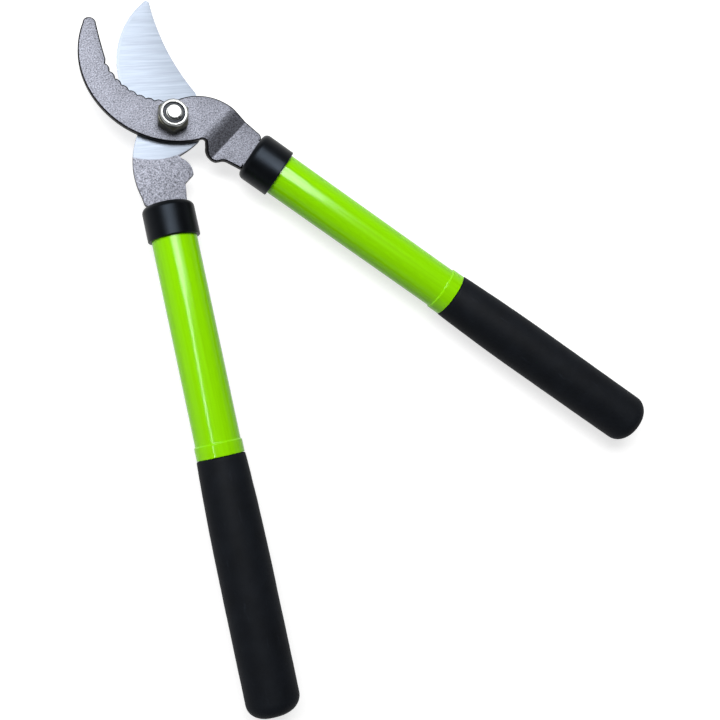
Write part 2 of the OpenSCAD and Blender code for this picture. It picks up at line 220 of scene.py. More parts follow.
def dressed(material, tint, rough, bump=None, **inputs):
    """The material with its shader fed: rough is a value, or a pattern with its least and most roughness, and bump a
    pattern with a strength and a depth in millimetres. Other inputs' names have underscores for spaces."""
    tree = material.node_tree
    if isinstance(rough, tuple):
        rough = node(tree, RANGE, {"Value": rough[0], "To Min": rough[1], "To Max": rough[2]})
    inputs.update(Base_Color=tint, Roughness=rough)
    if bump:
        inputs["Normal"] = node(tree, "ShaderNodeBump", {
            "Height": bump[0], "Strength": bump[1], "Distance": bump[2] * MM})
    for name, source in inputs.items():
        feed(tree, tree.nodes["Principled BSDF"].inputs[name.replace("_", " ")], source)
    return material


def toned(tree, colour, *patterns):
    """The colour, darkened and lightened by noises, each with its factors where it is low and where it is high."""
    colour = colour[:3]
    for pattern, dark, light in patterns:
        factor = node(tree, RANGE, {
            "Value": pattern, "From Min": NOISE_LOW, "From Max": NOISE_HIGH, "To Min": dark, "To Max": light})
        colour = node(tree, VECTOR, {0: colour, "Scale": factor}, operation="SCALE")
    return colour


def mottled_grey(tree, place, colour):
    """The grain that stones leave on a tumbled plate, 0.65 mm wide and drawn coarse to show, and the plate's colour,
    which drifts in blotches of 9 mm."""
    grain = node(tree, NOISE, {"Vector": place, "Scale": per_mm(0.65), "Detail": 3, "Roughness": 0.6})
    blotch = node(tree, NOISE, {"Vector": place, "Scale": per_mm(9)})
    return grain, toned(tree, colour, (grain, 0.26, 1.74), (blotch, 0.92, 1.06))


def tumbled_steel(look):
    """Tumbled carbon steel: matte grey with a fine speckle of peened grains."""
    material, tree, place = new_material("tumbled_carbon_steel")
    grain, tint = mottled_grey(tree, place, look.hook_colour)
    return dressed(material, tint, (grain, 0.46, 0.56), (grain, 0.25, 0.04), Metallic=1)


def edge_scale_and_shade(look):
    """Steel edge: near black, streaked through the plate's thickness; its darkness is partly dark scale of the shear
    and partly painted shade.
    """
    material, tree, place = new_material("steel_edge_scale_and_shade")
    streaks = node(tree, MAPPING, {"Vector": place, "Scale": (1, 1, 0.15)})
    grain = node(tree, NOISE, {"Vector": streaks, "Scale": per_mm(0.7)})
    return dressed(material, toned(tree, look.edge_scale_and_shade_colour, (grain, 0.6, 1.5)), 0.5, Metallic=1)


def ground_steel(look):
    """Ground tool steel: bright, with fine lines of the grinding wheel across the blade; its tang stays tumbled."""
    material, tree, place = new_material("ground_tool_steel")
    grain, dull = mottled_grey(tree, place, look.hook_colour)
    # The wheel's lines run at 26 degrees across the blade, a millimetre wide, which is drawn coarse to show
    across = node(tree, MAPPING, {"Vector": place, "Rotation": (0, 0, math.radians(-26)), "Scale": (25, 1, 1)},
                  vector_type="TEXTURE")
    lines = node(tree, NOISE, {"Vector": across, "Scale": per_mm(1), "Detail": 4, "Roughness": 0.6})
    bright = toned(tree, look.blade_colour, (lines, 0.84, 1.1))
    # Behind the pivot, the wheel reached as far as a circle about a point ahead of it
    middle = PIVOT + Vector((*GROUND_AT, 0)) * MM
    flat = node(tree, VECTOR, [place, (1, 1, 0)], operation="MULTIPLY")
    away = node(tree, VECTOR, [flat, (middle.x, middle.y, 0)], operation="DISTANCE")
    behind = node(tree, RANGE, {
        "Value": away.outputs["Value"], "From Min": GROUND_R * MM, "From Max": GROUND_FADE_R * MM,
        "To Min": 1, "To Max": 0})
    split = node(tree, "ShaderNodeSeparateXYZ", [place])
    ahead = node(tree, MATH, [split.outputs["Y"], PIVOT.y], operation="GREATER_THAN")
    ground = node(tree, MATH, [behind, ahead], operation="MAXIMUM")
    tint = node(tree, "ShaderNodeMix", {0: ground, 6: dull, 7: bright}, data_type="RGBA").outputs[2]
    height = node(tree, "ShaderNodeMix", {0: ground, 2: grain, 3: lines})
    return dressed(material, tint, (ground, 0.52, 0.57), (height, 0.2, 0.03), Metallic=1)


def honed_steel(look):
    """Honed cutting edge: as bright as the ground steel beside it, without the wheel's lines and faintly mottled."""
    material, tree, place = new_material("honed_tool_steel")
    mottle = node(tree, NOISE, {"Vector": place, "Scale": per_mm(1.2), "Detail": 3})
    return dressed(material, toned(tree, look.blade_colour, (mottle, 0.95, 1.03)), 0.56, Metallic=1)


def zinc_plate(name, colour, smooth, rough):
    """Zinc plating on turned steel in one colour, with faint wipe marks; the nut's darker plating is painted shade."""
    material, tree, place = new_material(name)
    wipe = node(tree, NOISE, {"Vector": place, "Scale": per_mm(2.5), "Detail": 4, "Roughness": 0.6})
    return dressed(material, toned(tree, colour, (wipe, 0.88, 1.05)), (wipe, smooth, rough), Metallic=1)


def moulded_plastic(name, colour, roughness, grit):
    """Moulded plastic: even and dark, with the fine spark texture of its mould, whose grit is in millimetres."""
    material, tree, place = new_material(name)
    spark = node(tree, NOISE, {"Vector": place, "Scale": per_mm(grit)})
    drift = node(tree, NOISE, {"Vector": place, "Scale": per_mm(7)})
    tint = toned(tree, colour, (drift, 0.85, 1.2))
    return dressed(material, tint, (drift, roughness - 0.06, roughness + 0.06), (spark, 0.15, 0.03),
                   Specular_IOR_Level=0.1, Specular_Tint=linear("#D2E6FF"))


def stove_enamel(look):
    """Stoved lime enamel on drawn tube: a deep gloss with faint lines along the tube."""
    material, tree, place = new_material("stoved_lime_enamel", TURNED_PLACE)
    along = node(tree, MAPPING, {"Vector": place, "Scale": (1, 1, 0.015)})
    streaks = node(tree, NOISE, {"Vector": along, "Scale": per_mm(1.6), "Detail": 3, "Roughness": 0.6})
    peel = node(tree, NOISE, {"Vector": place, "Scale": per_mm(2.2), "Detail": 1})
    tint = toned(tree, look.enamel, (streaks, 0.93, 1.06))
    both = node(tree, MATH, [peel, streaks, 0.3], operation="MULTIPLY_ADD")
    return dressed(material, tint, (streaks, 0.08, 0.16), (both, 0.12, 0.02), Specular_IOR_Level=0.12)


def foam_rubber(look):
    """Closed-cell foam rubber: dry black with skin-fine cells and a few pale scuffs."""
    material, tree, place = new_material("closed_cell_foam", TURNED_PLACE)
    cells = node(tree, "ShaderNodeTexVoronoi", {"Vector": place, "Scale": per_mm(0.7)})
    drift = node(tree, NOISE, {"Vector": place, "Scale": per_mm(11), "Detail": 3})
    along = node(tree, MAPPING, {"Vector": place, "Scale": (1, 1, 0.25)})
    scuff = node(tree, NOISE, {"Vector": along, "Scale": per_mm(3), "Detail": 4, "Roughness": 0.7})
    tone = node(tree, RANGE, {
        "Value": drift, "From Min": NOISE_LOW, "From Max": NOISE_HIGH, "To Min": 0.8, "To Max": 1.3})
    worn = node(tree, RANGE, {"Value": scuff, "From Min": 0.6, "From Max": 0.78, "To Max": 0.9})
    total = node(tree, MATH, [tone, worn], operation="ADD")
    tint = node(tree, VECTOR, {0: look.foam[:3], "Scale": total}, operation="SCALE")
    return dressed(material, tint, 0.6, (cells, 0.3, 0.08), Specular_IOR_Level=0.05)


def arc_sweep(arc):
    """Centre, radius, start angle and turn of an arc given as start, middle and end."""
    (ax, ay), (bx, by), (cx, cy) = arc
    a, b, c = ax * ax + ay * ay, bx * bx + by * by, cx * cx + cy * cy
    d = 2 * (ax * (by - cy) + bx * (cy - ay) + cx * (ay - by))
    centre = Vector(((a * (by - cy) + b * (cy - ay) + c * (ay - by)) / d,
                     (a * (cx - bx) + b * (ax - cx) + c * (bx - ax)) / d))
    start, middle, end = (Vector(p) - centre for p in arc)
    from_a, to_a = math.atan2(start.y, start.x), math.atan2(end.y, end.x)
    left_turn = (middle - start).cross(end - start) > 0
    turn = (to_a - from_a) % math.tau if left_turn else -((from_a - to_a) % math.tau)
    return centre, start.length, from_a, turn


def spoke(angle):
    """The unit vector at an angle."""
    return Vector((math.cos(angle), math.sin(angle)))


def sweep_points(centre, radius, start, turn, steps):
    """Points round a centre, from an angle through a turn, both in radians."""
    return [Vector(centre) + radius * spoke(start + turn * i / steps) for i in range(steps + 1)]


def corner(centre, radius, start, end, steps=6):
    """Points round a corner, between angles in degrees."""
    return sweep_points(centre, radius, math.radians(start), math.radians(end - start), steps)


def arc_points(arc):
    """Points along an arc, in millimetres."""
    centre, radius, start, turn = arc_sweep(arc)
    return sweep_points(centre, radius, start, turn, math.ceil(abs(turn) * radius / ARC_STEP))


def toothed_throat():
    """Points along the hook's throat, with its round teeth standing out of the curve."""
    centre, radius, start, turn = arc_sweep(HOOK_THROAT)
    crest = radius - TOOTH_RISE
    reach = crest + TOOTH_R
    step = TOOTH_PITCH / crest
    first = start % math.tau - step / 2
    teeth = [first - i * step for i in range(TOOTH_COUNT)]
    points, samples = [], 150
    for i in range(samples + 1):
        angle = start + turn * i / samples
        distance = radius
        for tooth in teeth:
            offset = math.remainder(angle - tooth, math.tau)
            inside = TOOTH_R ** 2 - (reach * math.sin(offset)) ** 2
            if inside > 0 and math.cos(offset) > 0:
                distance = min(distance, reach * math.cos(offset) - math.sqrt(inside))
        points.append(centre + distance * spoke(angle))
    return points


def handle_point(side, out, along):
    """A point beside a handle: its side, millimetres outwards from the axis, millimetres along it from the pivot."""
    across = HANDLE_OFF + out
    return Vector((side * (across * math.cos(HANDLE_A) + along * math.sin(HANDLE_A)),
                   across * math.sin(HANDLE_A) - along * math.cos(HANDLE_A)))


def tang(side):
    """A tang's outline from its inner shoulder, round the tongue, to its rounded outer shoulder."""
    rounding, shoulder = TANG_OUT - TONGUE_HALF, FERRULE_AT - GAP
    points = [(-TANG_IN, shoulder), (-TONGUE_HALF, shoulder), (-TONGUE_HALF, TONGUE_END), (TONGUE_HALF, TONGUE_END),
              *corner((TONGUE_HALF, shoulder - rounding), rounding, 90, 0, 9)]
    return [handle_point(side, *p) for p in points]


def hook_outline():
    """The hook's outline, in millimetres round the pivot."""
    belly = [p for arc in HOOK_BELLY for p in arc_points(arc)]
    return belly + tang(1) + arc_points(HOOK_SHOULDER) + toothed_throat() + arc_points(HOOK_INNER)


def blade_outline():
    """The blade's outline, in millimetres round the pivot."""
    start = math.degrees(math.atan2(BLADE_FOOT[2][1], BLADE_FOOT[2][0]))
    boss = [BOSS_R * spoke(math.radians(start + 2 + 2 * i)) for i in range(int((BOSS_TO - start) / 2))]
    return (arc_points(BLADE_EDGE) + arc_points(BLADE_HEEL) + tang(-1)[::-1] + [Vector(p) for p in BLADE_STOP]
            + arc_points(BLADE_LUG) + arc_points(BLADE_FOOT) + boss + arc_points(BLADE_BACK))


def plate_holes(side, steps=48):
    """Points round a plate's holes for the bolt and for its tang's pin, clockwise: the plate lies on their left, as it
    does on its outline's."""
    holes = ((0, 0), HOLE_R), (handle_point(side, 0, PIN_AT), PIN_HOLE_R)
    return [sweep_points(*hole, 0, -math.tau, steps)[:-1] for hole in holes]


def without_doubles(points, apart=0.02):
    """The points of a closed line, less any that repeats the one before."""
    return [p for i, p in enumerate(points) if (p - points[i - 1]).length > apart]


def set_in(points, distance):
    """The closed line moved towards the plate, which lies on its left."""
    moved, sharpest = [], 0.4
    for i, point in enumerate(points):
        before = (point - points[i - 1]).normalized()
        after = (points[(i + 1) % len(points)] - point).normalized()
        left, right = Vector((-before.y, before.x)), Vector((-after.y, after.x))
        moved.append(point + (left + right) * distance / max(1 + left.dot(right), sharpest))
    return moved


def rounded_plate(outline, holes, top, thickness, rounding, shaded_rounding):
    """A flat plate with rounded edges, in millimetres round the pivot: its walls take the second material, a
    near-black edge that is partly dark scale and partly painted shade, and so does their rounding where the flag for
    shaded rounding is set."""
    steps = 4
    quarter = [math.pi / 2 * i / steps for i in range(steps + 1)]
    rows = [(rounding * (1 - math.sin(t)), top - rounding * (1 - math.cos(t))) for t in quarter]
    rows += [(inset, 2 * top - thickness - z) for inset, z in reversed(rows)]
    made = bmesh.new()
    rims = {0: [], len(rows) - 1: []}
    for loop in [without_doubles(outline)] + holes:
        rings = [[made.verts.new((*p, z)) for p in set_in(loop, inset)] for inset, z in rows]
        for level, (upper, lower) in enumerate(zip(rings, rings[1:])):
            for i, vertex in enumerate(upper):
                face = made.faces.new((vertex, upper[i - 1], lower[i - 1], lower[i]))
                # Walls, and their rounding where it is flagged, take the near-black edge: partly dark scale, partly
                # painted shade
                face.material_index = int(shaded_rounding or level == steps)
        for level, rim in rims.items():
            rim += [made.edges.get((v, rings[level][i - 1])) for i, v in enumerate(rings[level])]
    for rim in rims.values():
        bmesh.ops.triangle_fill(made, edges=rim, use_beauty=True, normal=(0, 0, 1))
    bmesh.ops.recalc_face_normals(made, faces=made.faces)
    return made


def bend_down(made):
    """Bends the hook's plate from the blade's upper face down to the tubes: a wide bend above, a tight one below."""
    turn = math.radians(15)
    across = Vector((math.sin(turn), -math.cos(turn), 0))
    begin, full, crease, tight, spacing = 15.2, 20.6, 25.8, 0.45, 0.45
    drop = HOOK_TOP - HOOK_T / 2
    slope = drop / ((full - begin) / 2 + crease - full)
    stations = [begin + spacing * i for i in range(int((full - begin) / spacing) + 1)]
    stations += [full, 22.2, 23.8, *(crease + tight * (i / 3 - 1) for i in range(7))]
    for station in stations:
        geometry = [*made.verts, *made.edges, *made.faces]
        bmesh.ops.bisect_plane(made, geom=geometry, plane_co=across * station, plane_no=across, dist=1e-5)

    def steepness(d):
        if d <= full:
            return slope * max(0, d - begin) / (full - begin)
        return slope * min(1, max(0, (crease + tight - d) / (2 * tight)))

    def fall(d):
        if d <= full:
            return slope * max(0, d - begin) ** 2 / (full - begin) / 2
        fallen = slope * (full - begin) / 2 + slope * (min(d, crease - tight) - full)
        past = min(max(0, d - crease + tight), 2 * tight)
        return fallen + slope * (past - past ** 2 / (4 * tight))

    for vertex in made.verts:
        d = vertex.co.dot(across)
        depth = HOOK_TOP - vertex.co.z
        tilt = steepness(d)
        long_side = math.hypot(1, tilt)
        moved = vertex.co - across * (depth * tilt / long_side)
        vertex.co = (moved.x, moved.y, HOOK_TOP - fall(d) - depth / long_side)


def plain_mesh(name, made):
    """The mesh of a bmesh, which is freed."""
    mesh = bpy.data.meshes.new(name)
    made.to_mesh(mesh)
    made.free()
    return mesh


def placed_mesh(name, made, materials):
    """A piece from a bmesh in millimetres round the pivot, with its place in its mesh."""
    made.transform(Matrix.Translation(PIVOT) @ Matrix.Scale(MM, 4))
    return finished(name, plain_mesh(name, made), materials)


def linked(name, data):
    """A new object that holds this data, in the scene."""
    made = bpy.data.objects.new(name, data)
    bpy.context.scene.collection.objects.link(made)
    return made


def finished(name, mesh, materials, sharp=12):
    """A piece of this mesh, whose faces keep their materials' numbers: smooth, but for edges that turn more than an
    angle in degrees."""
    mesh.name = name
    slots = [min(face.material_index, len(materials) - 1) for face in mesh.polygons]
    mesh.materials.clear()
    for material in materials:
        mesh.materials.append(material)
    mesh.polygons.foreach_set("material_index", slots)
    mesh.shade_smooth()
    mesh.set_sharp_from_angle(angle=math.radians(sharp))
    return linked(name, mesh)


def evaluated_mesh(carrier):
    """The plain mesh of an object with its modifiers, and the object removed."""
    depsgraph = bpy.context.evaluated_depsgraph_get()
    mesh = bpy.data.meshes.new_from_object(carrier.evaluated_get(depsgraph), depsgraph=depsgraph)
    bpy.data.objects.remove(carrier)
    return mesh


def cut(piece, *cutters):
    """Takes the cutters' shapes out of a piece."""
    name, materials = piece.name, list(piece.data.materials)
    for cutter in cutters:
        modifier = piece.modifiers.new("cut", "BOOLEAN")
        modifier.operation, modifier.solver, modifier.object = "DIFFERENCE", "EXACT", cutter
    piece.name = name + "_uncut"
    mesh = evaluated_mesh(piece)
    for cutter in cutters:
        bpy.data.objects.remove(cutter)
    return finished(name, mesh, materials)


def handle_group(handle):
    """The collection of a handle's pieces, for the lamps that draw its highlights."""
    name = handle + "_handle"
    return bpy.data.collections.get(name) or bpy.data.collections.new(name)


def carry(piece, body, replaced):
    """Makes a piece ride on its body in place of a solid."""
    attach(piece, body)
    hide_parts(replaced)
    return piece


def carry_on_handle(piece, handle, part):
    """Makes a handle's piece ride on its body in place of a solid, within reach of the handle's highlight lamps."""
    carry(piece, SIDES[handle][1], f"{handle}_{part}")
    handle_group(handle).objects.link(piece)


def new_tree(name, *inputs):
    """A geometry tree that makes a piece, and its named inputs, each given with its kind and default."""
    tree = bpy.data.node_groups.new(name, "GeometryNodeTree")
    for label, kind, default in inputs:
        socket = tree.interface.new_socket(label, in_out="INPUT", socket_type="NodeSocket" + kind)
        if default is not None:
            socket.default_value = default
    tree.interface.new_socket("Piece", in_out="OUTPUT", socket_type="NodeSocketGeometry")
    return tree, node(tree, "NodeGroupInput").outputs


def end_tree(tree, geometry, material):
    """Ends a geometry tree in plain geometry of one material."""
    real = node(tree, "GeometryNodeRealizeInstances", {"Geometry": geometry})
    painted = node(tree, "GeometryNodeSetMaterial", {"Geometry": real, "Material": material})
    node(tree, "NodeGroupOutput", {"Piece": painted})
    return tree


def turned_tree():
    """Node tree that turns a profile round the Z axis: each point is a radius along X and a height along Z. It can
    mill a hexagon of a given width across flats, and press soft dents."""
    tree, given = new_tree(
        "turned_piece", ("Profile", "Geometry", None), ("Steps", "Int", 96), ("Flats", "Float", 1.0),
        ("Corner", "Float", 0.0), ("Dents", "Float", 0.0), ("Material", "Material", None))
    # A flat grid of a row for each point of the profile, and a column for each step round the axis
    size = node(tree, "GeometryNodeAttributeDomainSize", {"Geometry": given["Profile"]})
    columns = node(tree, MATH, [given["Steps"], 1], operation="ADD")
    grid = node(tree, "GeometryNodeMeshGrid", {"Vertices X": size.outputs["Point Count"], "Vertices Y": columns})
    index = node(tree, "GeometryNodeInputIndex")
    row = node(tree, MATH, [node(tree, MATH, [index, columns], operation="DIVIDE")], operation="FLOOR")
    column = node(tree, MATH, [index, columns], operation="MODULO")
    position = node(tree, "GeometryNodeInputPosition")
    profile = node(tree, "GeometryNodeSampleIndex", {"Geometry": given["Profile"], "Value": position, "Index": row},
                   data_type="FLOAT_VECTOR")
    point = node(tree, "ShaderNodeSeparateXYZ", [profile]).outputs
    share = node(tree, MATH, [column, given["Steps"]], operation="DIVIDE")
    angle = node(tree, MATH, [share, math.tau], operation="MULTIPLY")
    # Distance of the hexagon's flats at this angle, which limits the radius
    from_corner = node(tree, MATH, [angle, given["Corner"]], operation="SUBTRACT")
    folded = node(tree, MATH, [from_corner, math.pi / 3], operation="FLOORED_MODULO")
    from_flat = node(tree, MATH, [folded, math.pi / 6], operation="SUBTRACT")
    slant = node(tree, MATH, [from_flat], operation="COSINE")
    half = node(tree, MATH, [given["Flats"], 0.5], operation="MULTIPLY")
    limit = node(tree, MATH, [half, slant], operation="DIVIDE")
    radius = node(tree, MATH, [point["X"], limit], operation="MINIMUM")
    spokes = [node(tree, MATH, [angle], operation=kind) for kind in ("COSINE", "SINE")]
    x, y = (node(tree, MATH, [part, radius], operation="MULTIPLY") for part in spokes)
    spot = node(tree, "ShaderNodeCombineXYZ", [x, y, point["Z"]])
    formed = node(tree, "GeometryNodeSetPosition", {"Geometry": grid, "Position": spot})
    merged = node(tree, "GeometryNodeMergeByDistance", {"Geometry": formed, "Distance": 2e-6})
    closed = node(tree, "GeometryNodeFlipFaces", {"Mesh": merged})
    dents = node(tree, NOISE, {"Vector": position, "Scale": per_mm(8), "W": 3.0}, noise_dimensions="4D")
    depth = node(tree, MATH, [dents, given["Dents"]], operation="MULTIPLY")
    inward = node(tree, MATH, [depth, -1], operation="MULTIPLY")
    push = node(tree, VECTOR, {0: node(tree, "GeometryNodeInputNormal"), "Scale": inward}, operation="SCALE")
    dented = node(tree, "GeometryNodeSetPosition", {"Geometry": closed, "Offset": push})
    kept = node(tree, "GeometryNodeStoreNamedAttribute",
                {"Geometry": dented, "Name": TURNED_PLACE, "Value": position}, data_type="FLOAT_VECTOR")
    return end_tree(tree, kept, given["Material"])


def thread_tree():
    """Node tree that winds a round thread up the Z axis from the ground."""
    tree, given = new_tree(
        "wound_thread", ("Turns", "Float", 3.0), ("Pitch", "Float", 1.25 * MM), ("Radius", "Float", 3.5 * MM),
        ("Ridge", "Float", 0.5 * MM), ("Material", "Material", None))
    rise = node(tree, MATH, [given["Turns"], given["Pitch"]], operation="MULTIPLY")
    path = node(tree, "GeometryNodeCurveSpiral", {
        "Resolution": 64, "Rotations": given["Turns"], "Start Radius": given["Radius"],
        "End Radius": given["Radius"], "Height": rise})
    ridge = node(tree, "GeometryNodeCurvePrimitiveCircle", {"Resolution": 8, "Radius": given["Ridge"]})
    wound = node(tree, "GeometryNodeCurveToMesh", {"Curve": path, "Profile Curve": ridge, "Fill Caps": True})
    return end_tree(tree, wound, given["Material"])


def grown(name, tree, values, start=None):
    """The plain mesh that a node tree makes with these values for its named inputs."""
    carrier = linked(name + "_carrier", start or bpy.data.meshes.new(name + "_start"))
    modifier = carrier.modifiers.new("grow", "NODES")
    modifier.node_group = tree
    for item in tree.interface.items_tree:
        if item.item_type == "SOCKET" and item.in_out == "INPUT" and item.name in values:
            modifier[item.identifier] = values[item.name]
    return evaluated_mesh(carrier)


def held(profile):
    """The profile's rows, with two more near the ends of each long run, so that its corners don't shade it."""
    long_run, from_end = 2, 0.3
    rows = []
    for (r, z), (next_r, next_z) in zip(profile, profile[1:] + profile[:1]):
        rows.append((r, z))
        length = math.hypot(next_r - r, next_z - z)
        if length > long_run:
            hold = from_end / length
            rows += [(r + (next_r - r) * t, z + (next_z - z) * t) for t in (hold, 1 - hold)]
    return rows


def turned(name, profile, place, material, sharp=25, **values):
    """A piece turned from a profile of (radius, height) rows in millimetres, set in place by a matrix."""
    start = bpy.data.meshes.new(name + "_profile")
    rows = held(profile) + [profile[0]]
    edges = [(i, i + 1) for i in range(len(rows) - 1)]
    start.from_pydata([(r * MM, 0, z * MM) for r, z in rows], edges, [])
    tree = bpy.data.node_groups.get("turned_piece") or turned_tree()
    mesh = grown(name, tree, {"Material": material, **values}, start)
    check = bmesh.new()
    check.from_mesh(mesh)
    bmesh.ops.recalc_face_normals(check, faces=check.faces)
    check.to_mesh(mesh)
    check.free()
    mesh.transform(place)
    return finished(name, mesh, [material], sharp)


def on_handle(side):
    """Matrix that sets a turned piece on a handle: its Z axis along the handle from the pivot, its Y axis up."""
    along = Vector((side * math.sin(HANDLE_A), -math.cos(HANDLE_A), 0))
    up = Vector((0, 0, 1))
    out = up.cross(along)
    foot = PIVOT + handle_point(side, 0, 0).to_3d() * MM
    return Matrix.Translation(foot) @ Matrix((out, up, along)).transposed().to_4x4()


def chamfer(flats, height, upward, steps=6):
    """Rows of a hexagon's turned-off corners, from its end face out to its corners."""
    face, widest = flats * HEX_FACE, flats * HEX_CORNER
    rise = math.tan(math.radians(30)) * (1 if upward else -1)
    return [(face + (widest - face) * i / steps, height - rise * (widest - face) * i / steps)
            for i in range(steps + 1)]


class LOPPERS_OT_hook(Operator):
    """Builds the toothed hook, with its bent tang"""
    bl_idname = "loppers.hook"
    bl_label = "Hook"

    def execute(self, context):
        look = context.scene.lopper_plates
        # The hook's walls and their rounding take the near-black edge: partly dark scale, partly painted shade
        made = rounded_plate(hook_outline(), plate_holes(1), HOOK_TOP, HOOK_T, look.hook_round / MM, True)
        bend_down(made)
        piece = placed_mesh("hook", made, [tumbled_steel(look), edge_scale_and_shade(look)])
        carry(piece, HOOK_SIDE, "hook_blade")
        return {"FINISHED"}


class LOPPERS_OT_blade(Operator):
    """Builds the ground cutting blade, with its bevel below and its honed strip above"""
    bl_idname = "loppers.blade"
    bl_label = "Blade"

    def execute(self, context):
        look = context.scene.lopper_plates
        top = BLADE_T / 2
        made = rounded_plate(blade_outline(), plate_holes(-1), top, BLADE_T, look.blade_round / MM, False)
        # The blade's walls take the near-black edge: partly dark scale, partly painted shade
        edge = bpy.data.materials.get("steel_edge_scale_and_shade") or edge_scale_and_shade(look)
        steels = [ground_steel(look), edge, honed_steel(look)]
        piece = placed_mesh("blade", made, steels)
        bevel = self.ring("bevel_cutter", steels, 0, BEVEL_WIDTH, BEVEL_DEPTH, -top, -1, BEVEL_ENDS)
        strip = self.ring("strip_cutter", steels, 2, look.strip_width / MM, look.strip_depth / MM, top, 1,
                          STRIP_ENDS)
        piece = cut(piece, bevel, strip)
        carry(piece, BLADE_SIDE, "cutting_blade")
        return {"FINISHED"}

    def ring(self, name, steels, steel, width, depth, level, up, ends):
        """A ring about the cutting edge's centre, to grind a bevel of this width and depth off one face."""
        centre, radius, start, turn = arc_sweep(BLADE_EDGE)
        past, steps = 1.5, 120
        slope = depth / width
        rows = [(radius - width, level), (radius + past, level - up * (width + past) * slope),
                (radius + past, level + up * past), (radius - width, level + up * past)]
        first, last = start - math.radians(ends[0]), start + turn - math.radians(ends[1])
        made = bmesh.new()
        rings = []
        for i in range(steps + 1):
            angle = first + (last - first) * i / steps
            rings.append([made.verts.new((*(centre + r * spoke(angle)), z)) for r, z in rows])
        for one, two in zip(rings, rings[1:]):
            for i in range(len(rows)):
                made.faces.new((one[i], one[i - 1], two[i - 1], two[i]))
        made.faces.new(rings[0])
        made.faces.new(rings[-1])
        for face in made.faces:
            face.material_index = steel
        bmesh.ops.recalc_face_normals(made, faces=made.faces)
        return placed_mesh(name, made, steels)


class LOPPERS_OT_pivot(Operator):
    """Builds the pivot's bolt, thread, lock nut, locking ring and washer"""
    bl_idname = "loppers.pivot"
    bl_label = "Pivot"

    def execute(self, context):
        look = context.scene.lopper_pivot
        zinc = zinc_plate("bright_zinc_plate", look.plating, 0.3, 0.45)
        painted_shade_zinc = zinc_plate("painted_shade_zinc_plate", look.painted_shade_plating, 0.3, 0.42)
        nylon = moulded_plastic("moulded_nylon", look.nylon, 0.4, 0.5)
        flats = look.across_flats / MM
        hexagon = {"Flats": look.across_flats, "Corner": math.radians(-5), "Steps": 120}
        self.piece("bolt", self.bolt_profile(flats), zinc, "pivot_bolt", "plated_steel", **hexagon)
        self.thread(look.thread_pitch, zinc)
        nut = self.piece("lock_nut", self.nut_profile(flats), zinc, "pivot_nut", "plated_steel", **hexagon)
        # Only the lip rolled over the locking ring keeps the bright plating; the rest of the nut is darkened as
        # painted shade
        nut.data.materials.append(painted_shade_zinc)
        for face in nut.data.polygons:
            face.material_index = int(face.center.z < PIVOT.z + (NUT_TOP - UNSHADED_LIP_DEPTH) * MM)
        self.piece("locking_ring", self.ring_profile(), nylon, "nut_locking_ring", "ring_nylon")
        bent = 0.3
        washer = [(HOLE_R, HEAD_TOP), *corner((WASHER_R - bent, HEAD_TOP + bent), bent, -90, 0),
                  *corner((WASHER_R - bent, WASHER_TOP - bent), bent, 0, 90), (HOLE_R, WASHER_TOP)]
        self.piece("washer", washer, zinc, "head_washer", "plated_steel")
        return {"FINISHED"}

    def piece(self, name, profile, material, replaced, slot, **values):
        """One turned piece of the pivot, in place of a solid."""
        made = turned(name, profile, Matrix.Translation(PIVOT), material, **values)
        return carry(made, HOOK_SIDE, replaced)

    def bolt_profile(self, flats):
        """Rows of the bolt: its head below, its shank, and the thinner core of its thread."""
        ease = 0.25
        return [(0, HEAD_BASE), *chamfer(flats, HEAD_BASE, False), (flats * HEX_CORNER, HEAD_TOP),
                (BOLT_R, HEAD_TOP), (BOLT_R, THREAD_AT), (THREAD_CORE, THREAD_AT + 2 * ease),
                (THREAD_CORE, BOLT_END - ease), (THREAD_CORE - ease, BOLT_END), (0, BOLT_END)]

    def thread(self, pitch, zinc):
        """The thread wound round the bolt's core, clear of the core's two ends."""
        sunk, above, short = 0.1, 0.6, 2.1
        ridge = BOLT_R - THREAD_CORE - sunk
        mesh = grown("bolt_thread", thread_tree(), {
            "Material": zinc, "Pitch": pitch, "Turns": (BOLT_END - THREAD_AT - short) * MM / pitch,
            "Radius": (BOLT_R - ridge) * MM, "Ridge": ridge * MM})
        mesh.transform(Matrix.Translation(PIVOT) @ Matrix.Translation((0, 0, (THREAD_AT + above) * MM)))
        thread = finished("bolt_thread", mesh, [zinc], 60)
        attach(thread, HOOK_SIDE)

    def nut_profile(self, flats):
        """Rows of the lock nut: its hexagon, its round collar, and the lip over the locking ring's pocket."""
        bore, floor, under_lip = BOLT_R + GAP, NUT_TOP - POCKET_DEPTH, NUT_TOP - LIP_T
        fillet, roll = 0.3, 1
        return [(bore, HOOK_TOP), *chamfer(flats, HOOK_TOP, False), *reversed(chamfer(flats, HEX_TOP, True)),
                *corner((COLLAR_R + fillet, HEX_TOP + fillet), fillet, 270, 180, 3),
                *corner((COLLAR_R - roll, NUT_TOP - roll), roll, 0, 75), (LIP_R, NUT_TOP - 2 * GAP),
                (LIP_R, under_lip), (POCKET_R, under_lip), (POCKET_R, floor), (bore, floor)]

    def ring_profile(self):
        """Rows of the locking ring: a flat ring in the nut's pocket, with a bead round the bolt."""
        bore, floor, bead, shoulder = BOLT_R + GAP, NUT_TOP - POCKET_DEPTH, 0.35, NUT_TOP - 1.6
        return [(bore, floor), (RING_R, floor), (RING_R, shoulder), (bore + 2 * bead, shoulder),
                *corner((bore + bead, NUT_TOP - LIP_T - bead), bead, 0, 180, 10)]


